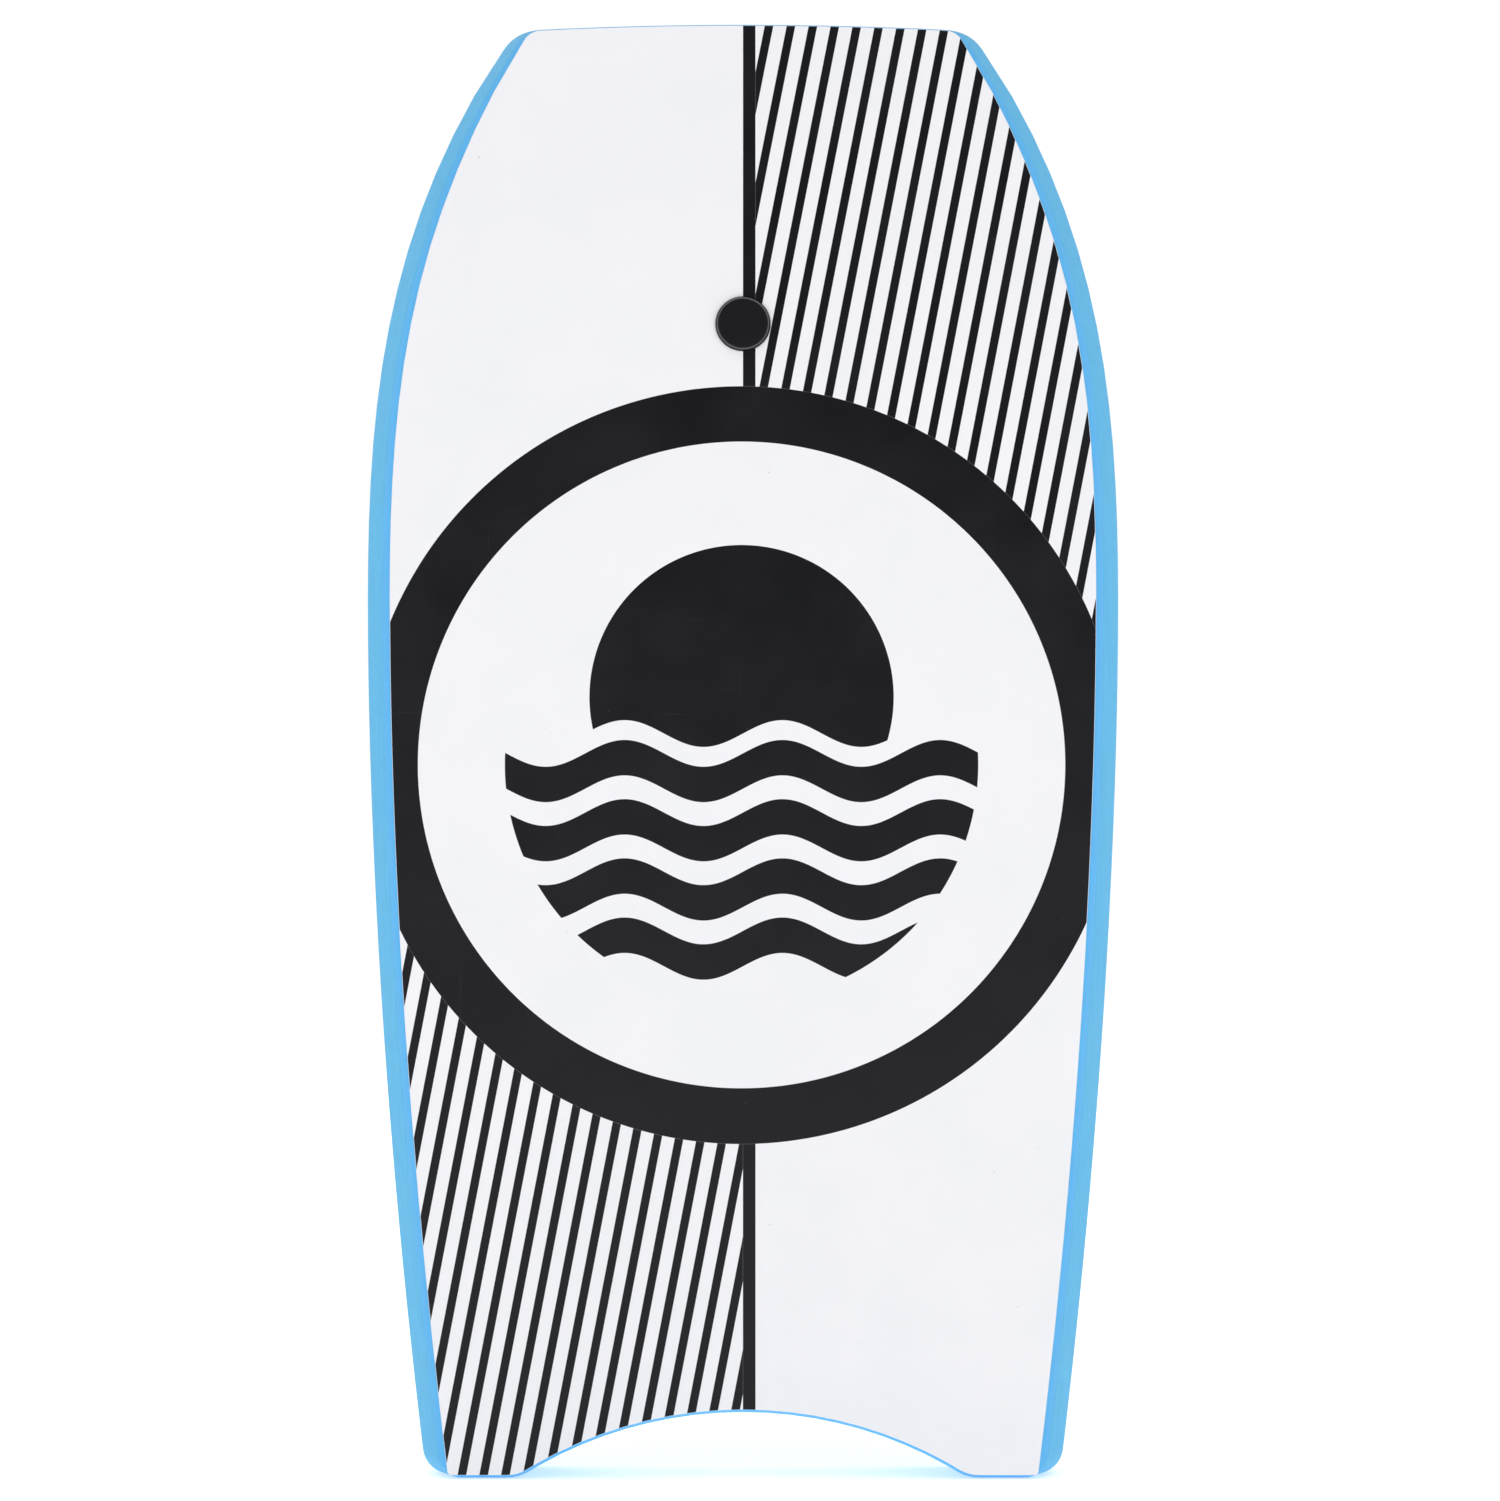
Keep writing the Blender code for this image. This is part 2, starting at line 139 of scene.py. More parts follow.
FILM_WHITE = (0.872, 0.872, 0.905, 1)
FILM_GREY = (0.845, 0.850, 0.880, 1)
INK_BLACK = (0.0038, 0.0041, 0.0062, 1)
INK_GREY = (0.0068, 0.0072, 0.0100, 1)
SPECK_GREY = (0.30, 0.30, 0.32, 1)
SCRATCH_GREY = (0.55, 0.55, 0.58, 1)
FILM_RELIEF = 0.0003
SHEET_CELL = 0.028  # how far apart the sheet is cut, to shade evenly over its bends
INK_EDGE = 0.00012  # how far the ink fades out at an edge
RING_CENTRE = (-0.001, 0, 0.507)
RING_INSIDE = 0.2297
RING_OUTSIDE = 0.2693
LINE_START = 0.0  # the left edge of the line from end to end
LINE_END = 0.0089  # and its right edge
STRIPE_WIDTH = 0.0062
STRIPES = {  # where the first stripe starts, the pitch, and the lean of both fields
    "upper": (0.0048, 0.01579, 0.196),
    "lower": (0.0007, 0.01544, 0.193),
}
EMBLEM_RADIUS = 0.168  # how far the waves reach
SUN_CENTRE = (-0.001, 0, 0.555)
SUN_RADIUS = 0.108
SUN_GAP = 0.014  # white left between the sun and the sea
SEA_LEVEL = 0.515
WAVE_HEIGHT = 0.0095
WAVE_LENGTH = 0.112
WAVE_PITCH = 0.042
WAVE_SHARE = 0.60  # of each pitch, the part that is inked
WAVE_COUNT = 4


def taken_up(node, name):
    """A copy of a CAD node as a piece of its own, its loose triangles joined to whole faces."""
    bpy.ops.object.select_all(action="DESELECT")
    piece = bpy.data.objects.new(name, frame["nodes"][node].data.copy())
    bpy.context.scene.collection.objects.link(piece)
    piece.data.name = name
    piece.data.materials.clear()
    bpy.context.view_layer.objects.active = piece
    piece.select_set(True)
    bpy.ops.mesh.customdata_custom_splitnormals_clear()
    bpy.ops.object.mode_set(mode="EDIT")
    bpy.ops.mesh.select_all(action="SELECT")
    bpy.ops.mesh.remove_doubles(threshold=0.00001)
    bpy.ops.mesh.dissolve_limited(angle_limit=math.radians(0.2))
    bpy.ops.object.mode_set(mode="OBJECT")
    return piece


def apply_modifier(piece, kind, **settings):
    """Puts a modifier on the piece and applies it."""
    bpy.ops.object.select_all(action="DESELECT")
    piece.select_set(True)
    bpy.context.view_layer.objects.active = piece
    modifier = piece.modifiers.new(kind.title(), kind)
    for name, value in settings.items():
        setattr(modifier, name, value)
    bpy.ops.object.modifier_apply(modifier=modifier.name)


def even_shading(piece):
    """Shades the selected piece's round parts as round and its flats as flat."""
    bpy.ops.object.shade_smooth_by_angle(angle=math.radians(50))
    apply_modifier(piece, "WEIGHTED_NORMAL", weight=70, keep_sharp=True)


def round_edges(piece, width, segments, sharper_than=30):
    """Rounds the piece's edges that turn by more than an angle, and evens its shading."""
    apply_modifier(
        piece,
        "BEVEL",
        width=width,
        segments=segments,
        limit_method="ANGLE",
        angle_limit=math.radians(sharper_than),
    )
    even_shading(piece)


def cut_into_cells(piece, size):
    """Cuts the piece along and across, so that its broad faces bend and shade evenly."""
    bpy.ops.object.select_all(action="DESELECT")
    piece.select_set(True)
    bpy.context.view_layer.objects.active = piece
    bpy.ops.object.mode_set(mode="EDIT")
    for axis in (0, 2):
        reach = [vertex.co[axis] for vertex in piece.data.vertices]
        count = math.ceil((max(reach) - min(reach)) / size)
        for i in range(1, count):
            point, normal = [0, 0, 0], [0, 0, 0]
            point[axis] = min(reach) + i * (max(reach) - min(reach)) / count
            normal[axis] = 1
            bpy.ops.mesh.select_all(action="SELECT")
            bpy.ops.mesh.bisect(plane_co=point, plane_no=normal)
    bpy.ops.object.mode_set(mode="OBJECT")


def smooth_broad_face(piece, facing, repeat):
    """Evens the folds of the broad face that looks this way, and leaves its border alone."""
    bpy.ops.object.mode_set(mode="EDIT")
    bpy.ops.mesh.select_mode(type="FACE")
    bpy.ops.mesh.select_all(action="DESELECT")
    bpy.ops.object.mode_set(mode="OBJECT")
    for face in piece.data.polygons:
        face.select = face.normal.y * facing > 0.9
    bpy.ops.object.mode_set(mode="EDIT")
    bpy.ops.mesh.select_less()
    bpy.ops.mesh.vertices_smooth(factor=0.5, repeat=repeat)
    bpy.ops.object.mode_set(mode="OBJECT")


def fit(piece, finish, slot, *nodes):
    """Gives the piece its finish and puts it on the board in place of its CAD nodes."""
    piece.data.materials.clear()
    piece.data.materials.append(finish)
    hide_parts(*nodes)
    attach(piece, "root")


def new_effect(name, inputs, outputs):
    """An empty node group with named sockets, and the nodes at its two ends."""
    group = bpy.data.node_groups.new(name, "ShaderNodeTree")
    for socket, kind, value in inputs:
        made = group.interface.new_socket(socket, in_out="INPUT", socket_type=kind)
        if value is not None:
            made.default_value = value
    for socket in outputs:
        group.interface.new_socket(socket, in_out="OUTPUT", socket_type="NodeSocketFloat")
    start = group.nodes.new("NodeGroupInput")
    end = group.nodes.new("NodeGroupOutput")
    return group, start.outputs, end.inputs


def use_effect(tree, group, inputs):
    """The outputs of a node group placed in a material."""
    return place(tree, "Group", {"node_tree": group}, inputs).outputs


def stained_or_painted_light(tree, colour, mark, share, stain_or_light_colour):
    """The colour with a share of another colour in it where a mark lies; used for real stains and
    for painted shade and highlights.
    """
    return tinted(tree, maths(tree, "MULTIPLY", mark, share), colour, stain_or_light_colour)


handling, given, result = new_effect(
    "handling_marks",
    [
        ("Vector", "NodeSocketVector", None),
        ("Speck Spacing", "NodeSocketFloat", 0.012),
        ("Scratch Share", "NodeSocketFloat", 0.5),
    ],
    ["Specks", "Scratches", "Smears"],
)
spread = maths(handling, "DIVIDE", 1.0, given["Speck Spacing"])
dots = place(handling, "TexVoronoi", None, {"Vector": given["Vector"], "Scale": spread})
chosen = place(handling, "SeparateColor", None, {"Color": dots.outputs["Color"]})
dot_size = graded(handling, chosen.outputs["Green"], 0.0, 1.0, 0.018, 0.05)
near_dot = maths(handling, "LESS_THAN", dots.outputs["Distance"], dot_size)
few = maths(handling, "LESS_THAN", chosen.outputs["Red"], 0.22)
handling.links.new(maths(handling, "MULTIPLY", near_dot, few), result["Specks"])
hairs = []
for turn, stretch in ((0.4, (900, 900, 14)), (1.9, (14, 900, 800)), (-0.7, (700, 700, 9))):
    stretched = place(
        handling,
        "Mapping",
        None,
        {"Vector": given["Vector"], "Rotation": (0, turn, 0), "Scale": stretch},
    )
    hair = place(handling, "TexNoise", None, {"Vector": stretched.outputs[0], "Scale": 1.0})
    hairs.append(graded(handling, hair.outputs[0], 0.735, 0.775))
any_hair = maths(handling, "MAXIMUM", maths(handling, "MAXIMUM", *hairs[:2]), hairs[2])
patches = place(handling, "TexNoise", None, {"Vector": given["Vector"], "Scale": 9.0})
worn_here = graded(handling, patches.outputs[0], 0.50, 0.66)
scratched = maths(handling, "MULTIPLY", any_hair, worn_here)
scratched = maths(handling, "MULTIPLY", scratched, given["Scratch Share"])
handling.links.new(scratched, result["Scratches"])
smear = place(
    handling, "TexNoise", None, {"Vector": given["Vector"], "Scale": 16.0, "Detail": 5.0}
)
handling.links.new(graded(handling, smear.outputs[0], 0.35, 0.7), result["Smears"])

slick_finish, tree, shader, where = new_finish("slick_film", 0.36)
axes = place(tree, "SeparateXYZ", None, {"Vector": where}).outputs
flat = place(tree, "CombineXYZ", None, {"X": axes["X"], "Z": axes["Z"]}).outputs[0]


def within(distance):
    """The ink's cover where a distance to an edge is negative, with the ink's soft edge."""
    return graded(tree, distance, INK_EDGE / 2, -INK_EDGE / 2)


def beyond(value, limit):
    """The ink's cover where a value is over a limit."""
    return graded(tree, value, limit - INK_EDGE / 2, limit + INK_EDGE / 2)


def all_of(first, *others):
    """The cover that several covers have in common."""
    for other in others:
        first = maths(tree, "MULTIPLY", first, other)
    return first


def any_of(first, *others):
    """The cover of several covers together."""
    for other in others:
        first = maths(tree, "MAXIMUM", first, other)
    return first


def far_from(point):
    """How far a place on the slick is from a point, as seen from straight in front."""
    return place(tree, "VectorMath", {"operation": "DISTANCE"}, {0: flat, 1: point}).outputs[1]


ring_distance = far_from(RING_CENTRE)
outside_ring = beyond(ring_distance, RING_OUTSIDE)
ring = all_of(
    beyond(ring_distance, RING_INSIDE),
    within(maths(tree, "SUBTRACT", ring_distance, RING_OUTSIDE)),
)
right_of_line = beyond(axes["X"], LINE_END)
left_of_line = within(maths(tree, "SUBTRACT", axes["X"], LINE_START))
line = all_of(
    beyond(axes["X"], LINE_START),
    within(maths(tree, "SUBTRACT", axes["X"], LINE_END)),
    outside_ring,
)
stripes = []
for zone, (start, pitch, lean) in STRIPES.items():
    leaned = maths(tree, "MULTIPLY_ADD", axes["Z"], -lean, -start)
    across = maths(tree, "ADD", axes["X"], leaned)
    from_bar = maths(tree, "PINGPONG", across, pitch / 2)
    bars = within(maths(tree, "SUBTRACT", from_bar, STRIPE_WIDTH / 2))
    over_middle = maths(tree, "SUBTRACT", axes["Z"], RING_CENTRE[2])
    if zone == "upper":
        zone_cover = all_of(right_of_line, beyond(over_middle, 0.0))
    else:
        zone_cover = all_of(left_of_line, within(over_middle))
    stripes.append(all_of(bars, zone_cover, outside_ring))

turns = maths(tree, "MULTIPLY", axes["X"], 2 * math.pi / WAVE_LENGTH)
swell = maths(tree, "MULTIPLY", maths(tree, "SINE", turns), WAVE_HEIGHT)
level = maths(tree, "SUBTRACT", axes["Z"], swell)
depth = maths(tree, "SUBTRACT", SEA_LEVEL, level)
in_wave = maths(tree, "MODULO", depth, WAVE_PITCH)
waves = all_of(
    beyond(depth, 0.0),
    within(maths(tree, "SUBTRACT", depth, WAVE_PITCH * (WAVE_COUNT - 0.2))),
    within(maths(tree, "SUBTRACT", in_wave, WAVE_PITCH * WAVE_SHARE)),
    within(maths(tree, "SUBTRACT", far_from(RING_CENTRE), EMBLEM_RADIUS)),
)
sun = all_of(
    beyond(level, SEA_LEVEL + SUN_GAP),
    within(maths(tree, "SUBTRACT", far_from(SUN_CENTRE), SUN_RADIUS)),
)

facing = place(tree, "SeparateXYZ", None, {"Vector": place(tree, "TexCoord").outputs["Normal"]})
on_face = maths(tree, "LESS_THAN", facing.outputs["Y"], -0.8)
marks = use_effect(
    tree, handling, {"Vector": where, "Speck Spacing": 0.016, "Scratch Share": 0.55}
)
ink = all_of(any_of(line, ring, waves, sun, *stripes), on_face)
film_colour = tinted(tree, marks["Smears"], FILM_WHITE, FILM_GREY)
film_colour = stained_or_painted_light(tree, film_colour, marks["Specks"], 0.35, SPECK_GREY)
film_colour = stained_or_painted_light(tree, film_colour, marks["Scratches"], 0.10, SCRATCH_GREY)
ink_colour = tinted(tree, marks["Smears"], INK_BLACK, INK_GREY)
ink_wear = any_of(
    maths(tree, "MULTIPLY", marks["Specks"], 0.12),
    maths(tree, "MULTIPLY", marks["Scratches"], 0.10),
)
ink_colour = tinted(tree, ink_wear, ink_colour, SPECK_GREY)
tree.links.new(tinted(tree, ink, film_colour, ink_colour), shader.inputs["Base Color"])
gloss = graded(tree, marks["Smears"], 0.0, 1.0, 0.34, 0.44)
gloss = maths(tree, "ADD", gloss, maths(tree, "MULTIPLY", marks["Scratches"], 0.2))
gloss = maths(tree, "SUBTRACT", gloss, maths(tree, "MULTIPLY", ink, 0.05))
tree.links.new(gloss, shader.inputs["Roughness"])
shader.inputs["IOR"].default_value = 1.42
shader.inputs["Specular IOR Level"].default_value = 0.3
lie = place(tree, "TexNoise", None, {"Vector": where, "Scale": 22.0, "Detail": 3.0})
skin_grain = place(tree, "TexNoise", None, {"Vector": where, "Scale": 1400.0, "Detail": 2.0})
ink_step = maths(tree, "MULTIPLY", ink, 0.08)
relief = maths(tree, "MULTIPLY_ADD", lie.outputs[0], 0.9, ink_step)
relief = maths(tree, "MULTIPLY_ADD", skin_grain.outputs[0], 0.05, relief)
relief = maths(tree, "MULTIPLY_ADD", marks["Scratches"], -0.05, relief)
raise_surface(tree, shader, relief, FILM_RELIEF, strength=0.6)

slick = taken_up("slick_skin", "slick_sheet")
cut_into_cells(slick, SHEET_CELL)
round_edges(slick, width=0.00022, segments=2)
fit(slick, slick_finish, "slick_film", "slick_skin")

# Backing. Four millimetres of polyethylene foam that the slick is laminated to. Its edge is
# planed to a bevel and shows as a narrow line of deeper blue all round the film.

BACKING_BLUE = (0.114, 0.496, 0.920, 1)
BACKING_DEEP = (0.084, 0.444, 0.858, 1)
BLEACHED_BLUE = (0.36, 0.66, 0.86, 1)  # where the foam has rubbed
FOAM_CELL = 0.0007
# Open pores are painted darker than the foam round them: painted shade in the holes.
PORE_SHADE = 0.72  # how bright an open pore is beside the foam round it

foam_grain, given, result = new_effect(
    "foam_grain",
    [
        ("Vector", "NodeSocketVector", None),
        ("Cell Size", "NodeSocketFloat", 0.0007),
        ("Streak Share", "NodeSocketFloat", 0.5),
    ],
    ["Mottle", "Pores", "Height"],
)
per_metre = maths(foam_grain, "DIVIDE", 1.0, given["Cell Size"])
cells = place(
    foam_grain,
    "TexVoronoi",
    {"feature": "SMOOTH_F1"},
    {"Vector": given["Vector"], "Scale": per_metre, "Smoothness": 0.4},
)
cloud = place(
    foam_grain, "TexNoise", None, {"Vector": given["Vector"], "Scale": 75.0, "Detail": 5.0}
)
planed = place(foam_grain, "Mapping", None, {"Vector": given["Vector"], "Scale": (500, 500, 10)})
streaks = place(foam_grain, "TexNoise", None, {"Vector": planed.outputs[0], "Scale": 1.0})
streaked = maths(foam_grain, "MULTIPLY", streaks.outputs[0], given["Streak Share"])
rest = maths(foam_grain, "SUBTRACT", 1.0, given["Streak Share"])
mottle = maths(foam_grain, "MULTIPLY_ADD", cloud.outputs[0], rest, streaked)
foam_grain.links.new(graded(foam_grain, mottle, 0.3, 0.7), result["Mottle"])
pore_cells = place(
    foam_grain,
    "TexVoronoi",
    None,
    {"Vector": given["Vector"], "Scale": maths(foam_grain, "MULTIPLY", per_metre, 0.24)},
)
open_pore = graded(foam_grain, pore_cells.outputs["Distance"], 0.16, 0.08)
pore_pick = place(foam_grain, "SeparateColor", None, {"Color": pore_cells.outputs["Color"]})
some = maths(foam_grain, "LESS_THAN", pore_pick.outputs["Blue"], 0.35)
pores = maths(foam_grain, "MULTIPLY", open_pore, some)
foam_grain.links.new(pores, result["Pores"])
height = maths(foam_grain, "MULTIPLY_ADD", streaks.outputs[0], 0.4, cells.outputs["Distance"])
height = maths(foam_grain, "MULTIPLY_ADD", pores, -0.8, height)
foam_grain.links.new(height, result["Height"])


def foam_finish(name, light, deep, cell, relief, roughness, streak_share):
    """Closed-cell foam: mottled, pale where it has rubbed, with painted shade in its hollows and
    in open pores where it was cut.
    """
    made, tree, shader, where = new_finish(name, roughness)
    grain = use_effect(
        tree, foam_grain, {"Vector": where, "Cell Size": cell, "Streak Share": streak_share}
    )
    marks = use_effect(
        tree, handling, {"Vector": where, "Speck Spacing": 0.010, "Scratch Share": 0.6}
    )
    corners = place(tree, "NewGeometry").outputs["Pointiness"]
    rubbed = graded(tree, corners, 0.515, 0.60)
    rubbed = maths(tree, "MULTIPLY", rubbed, graded(tree, grain["Mottle"], 0.2, 0.9, 0.15, 0.55))
    # Concave corners, where pointiness is low, are darkened towards the pore colour: painted
    # shade.
    painted_crease_shade = graded(tree, corners, 0.49, 0.42, 0.0, 0.5)
    colour = tinted(tree, grain["Mottle"], light, deep)
    # The painted shade of the pores and the concave corners; the specks of dirt take this colour
    # too.
    shade = tuple(PORE_SHADE * value for value in deep[:3]) + (1,)
    colour = stained_or_painted_light(tree, colour, grain["Pores"], 0.55, shade)
    colour = tinted(tree, painted_crease_shade, colour, shade)
    colour = tinted(tree, rubbed, colour, BLEACHED_BLUE)
    colour = stained_or_painted_light(tree, colour, marks["Scratches"], 0.22, BLEACHED_BLUE)
    colour = stained_or_painted_light(tree, colour, marks["Specks"], 0.30, shade)
    tree.links.new(colour, shader.inputs["Base Color"])
    dull = graded(tree, marks["Smears"], 0.0, 1.0, roughness - 0.06, roughness + 0.06)
    tree.links.new(dull, shader.inputs["Roughness"])
    shader.inputs["Specular IOR Level"].default_value = 0.35
    shader.inputs["Sheen Weight"].default_value = 0.02
    raise_surface(tree, shader, grain["Height"], relief)
    return made


backing_finish = foam_finish(
    "backing_foam",
    BACKING_BLUE,
    BACKING_DEEP,
    FOAM_CELL,
    relief=0.00016,
    roughness=0.55,
    streak_share=0.5,
)
backing = taken_up("slick_backing", "slick_backing_foam")
round_edges(backing, width=0.0004, segments=2)
fit(backing, backing_finish, "rail_foam", "slick_backing")

# Rails and end strips. Strips of denser foam, planed to their bevels and welded round the core:
# two to each side, which meet at the board's widest line, and one across each end.

RAIL_BLUE = (0.130, 0.528, 0.862, 1)
RAIL_DEEP = (0.098, 0.466, 0.796, 1)

rail_finish = foam_finish(
    "rail_foam",
    RAIL_BLUE,
    RAIL_DEEP,
    FOAM_CELL,
    relief=0.00020,
    roughness=0.58,
    streak_share=0.65,
)
for node in (
    "left_lower_rail",
    "right_lower_rail",
    "left_upper_rail",
    "right_upper_rail",
    "nose_strip",
    "tail_strip",
):
    edging = taken_up(node, node + "_foam")
    round_edges(edging, width=0.0007, segments=3, sharper_than=24)
    fit(edging, rail_finish, "rail_foam", node)

# Deck. The skin that the rider lies on: softer foam with an embossed pebble face, raised at the
# nose in a bulb for each hand, with grip lines pressed into it by a hot plate. It is rolled over
# at its edges and heat-laminated to the core.

DECK_BLUE = (0.118, 0.485, 0.815, 1)
DECK_DEEP = (0.098, 0.448, 0.775, 1)
# DECK_SHADE is painted shade, for the valleys between the pebbles and the pressed grip lines.
DECK_SHADE = (0.066, 0.330, 0.630, 1)
DECK_DIRT = (0.08, 0.25, 0.42, 1)
DECK_RELIEF = 0.0010
PEBBLE = 0.0036
GRIP_PLACE = (0.118, 0.955)  # the middle of a hand bulb, across and up
GRIP_REACH = (0.050, 0.056)  # half the width and half the height of the lined patch
GRIP_PITCH = 0.0068
GRIP_LEAN = 0.35  # how far a line climbs for each step outwards
GRIP_DEPTH = 0.0011
GRIP_FLOOR = 0.0004  # half the width of a pressed line at its bottom
GRIP_MOUTH = 0.0012  # and at the skin's face
GRIP_CUT = 0.0035  # how far apart the patch is cut across its lines
DECK_FACING = 0.7  # the skin's upper face is what looks out of the deck at least this squarely
DECK_CELL = 0.014

deck_finish, tree, shader, where = new_finish("deck_foam", 0.62)
pebbles = place(
    tree,
    "TexVoronoi",
    {"feature": "SMOOTH_F1"},
    {"Vector": where, "Scale": 1 / PEBBLE, "Smoothness": 0.35, "Randomness": 0.9},
)
pebble_edges = place(
    tree, "TexVoronoi", {"feature": "DISTANCE_TO_EDGE"}, {"Vector": where, "Scale": 1 / PEBBLE}
)
pebble_rise_and_valley_shade = graded(tree, pebble_edges.outputs["Distance"], 0.0, 0.14)
on_deck = place(tree, "SeparateXYZ", None, {"Vector": where}).outputs
side_step = maths(tree, "SUBTRACT", maths(tree, "ABSOLUTE", on_deck["X"]), GRIP_PLACE[0])
up_step = maths(tree, "SUBTRACT", on_deck["Z"], GRIP_PLACE[1])
grip_reach = maths(
    tree,
    "ADD",
    maths(tree, "POWER", maths(tree, "DIVIDE", side_step, GRIP_REACH[0]), 2.0),
    maths(tree, "POWER", maths(tree, "DIVIDE", up_step, GRIP_REACH[1]), 2.0),
)
on_grip = graded(tree, grip_reach, 1.0, 0.9)
grip_line = maths(tree, "MULTIPLY_ADD", side_step, -GRIP_LEAN, up_step)
grip_wave = maths(tree, "PINGPONG", grip_line, GRIP_PITCH / 2)
groove_shade = graded(tree, grip_wave, GRIP_MOUTH, GRIP_FLOOR)
groove_shade = maths(tree, "MULTIPLY", groove_shade, on_grip)
grain = use_effect(tree, foam_grain, {"Vector": where, "Cell Size": 0.0006, "Streak Share": 0.1})
marks = use_effect(tree, handling, {"Vector": where, "Speck Spacing": 0.012, "Scratch Share": 0.8})
corners = place(tree, "NewGeometry").outputs["Pointiness"]
rubbed = maths(tree, "MULTIPLY", graded(tree, corners, 0.51, 0.58), 0.3)
colour = tinted(tree, grain["Mottle"], DECK_BLUE, DECK_DEEP)
# The valleys between the pebbles are darkened towards DECK_SHADE: painted shade.
colour = tinted(tree, graded(tree, pebble_rise_and_valley_shade, 0.0, 1.0, 0.55, 0.0), colour, DECK_SHADE)
# The pressed grip lines are darkened towards DECK_SHADE: painted shade in the grooves.
colour = stained_or_painted_light(tree, colour, groove_shade, 0.5, DECK_SHADE)
colour = tinted(tree, rubbed, colour, BLEACHED_BLUE)
colour = stained_or_painted_light(tree, colour, marks["Scratches"], 0.25, BLEACHED_BLUE)
colour = stained_or_painted_light(tree, colour, marks["Specks"], 0.4, DECK_DIRT)
tree.links.new(colour, shader.inputs["Base Color"])
dull = graded(tree, marks["Smears"], 0.0, 1.0, 0.56, 0.70)
tree.links.new(dull, shader.inputs["Roughness"])
shader.inputs["Specular IOR Level"].default_value = 0.35
shader.inputs["Sheen Weight"].default_value = 0.04
sag = place(tree, "TexNoise", None, {"Vector": where, "Scale": 14.0, "Detail": 3.0})
relief = maths(tree, "MULTIPLY_ADD", pebble_rise_and_valley_shade, 0.20, maths(tree, "MULTIPLY", sag.outputs[0], 1.2))
relief = maths(tree, "MULTIPLY_ADD", pebbles.outputs["Distance"], -0.35, relief)
relief = maths(tree, "MULTIPLY_ADD", grain["Height"], 0.05, relief)
raise_surface(tree, shader, relief, DECK_RELIEF)


def off_grip(spot, side):
    """How far across and up a spot on the skin is from the middle of one hand's grip."""
    return side * spot.x - GRIP_PLACE[0], spot.z - GRIP_PLACE[1]


def cut_grip(piece, side):
    """Cuts the skin over one hand bulb along and across the lines that are pressed into it."""
    bpy.ops.object.mode_set(mode="EDIT")
    bpy.ops.mesh.select_mode(type="FACE")
    bpy.ops.mesh.select_all(action="DESELECT")
    bpy.ops.object.mode_set(mode="OBJECT")
    for face in piece.data.polygons:
        across, up = off_grip(face.center, side)
        beside = abs(across) < GRIP_REACH[0] + DECK_CELL
        level = abs(up) < GRIP_REACH[1] + DECK_CELL
        face.select = beside and level and face.normal.y > DECK_FACING
    bpy.ops.object.mode_set(mode="EDIT")
    bpy.ops.mesh.hide(unselected=True)
    lines = math.ceil((GRIP_REACH[1] + GRIP_LEAN * GRIP_REACH[0]) / GRIP_PITCH)
    for i in range(-lines, lines + 1):
        for wall in (-GRIP_MOUTH, -GRIP_FLOOR, GRIP_FLOOR, GRIP_MOUTH):
            on_line = (side * GRIP_PLACE[0], 0, GRIP_PLACE[1] + i * GRIP_PITCH + wall)
            bpy.ops.mesh.select_all(action="SELECT")
            bpy.ops.mesh.bisect(plane_co=on_line, plane_no=(-side * GRIP_LEAN, 0, 1))
    cuts = math.ceil(GRIP_REACH[0] / GRIP_CUT)
    for i in range(-cuts, cuts + 1):
        on_cut = (side * (GRIP_PLACE[0] + i * GRIP_CUT), 0, 0)
        bpy.ops.mesh.select_all(action="SELECT")
        bpy.ops.mesh.bisect(plane_co=on_cut, plane_no=(1, 0, 0))
    bpy.ops.mesh.reveal(select=False)
    bpy.ops.object.mode_set(mode="OBJECT")


def press_grips(piece):
    """Presses the lines of both grips into the skin."""
    pressed = piece.vertex_groups.new(name="grips")
    for vertex in piece.data.vertices:
        if vertex.normal.y < DECK_FACING:
            continue
        across, up = off_grip(vertex.co, math.copysign(1, vertex.co.x))
        if (across / GRIP_REACH[0]) ** 2 + (up / GRIP_REACH[1]) ** 2 > 1:
            continue
        line = (up - GRIP_LEAN * across) / GRIP_PITCH
        off_line = abs(line - round(line)) * GRIP_PITCH
        share = (GRIP_MOUTH - off_line) / (GRIP_MOUTH - GRIP_FLOOR)
        if share > 0:
            pressed.add([vertex.index], min(share, 1), "REPLACE")
    apply_modifier(
        piece, "DISPLACE", direction="Y", mid_level=0, strength=-GRIP_DEPTH, vertex_group="grips"
    )
    piece.vertex_groups.clear()


deck = taken_up("deck_skin", "deck_pad")
cut_into_cells(deck, DECK_CELL)
smooth_broad_face(deck, facing=1, repeat=4)
round_edges(deck, width=0.0012, segments=3, sharper_than=20)
bpy.ops.mesh.customdata_custom_splitnormals_clear()
for side in (-1, 1):
    cut_grip(deck, side)
press_grips(deck)
even_shading(deck)
fit(deck, deck_finish, "deck_foam", "deck_skin")

# Leash plug, slick side. A black moulded disc with a rounded rim and a threaded socket behind
# it, pushed through the board from the slick.

PLUG_CENTRE = (0, -0.0293004, 0.821)  # on the slick's face
PLUG_SLOPE = 0.0751263  # how far the slick runs back there for each step up
PLUG_SIDES = 96
PLUG_BLACK = (0.0032, 0.0032, 0.0056, 1)
PLUG_GREY = (0.0056, 0.0056, 0.0085, 1)
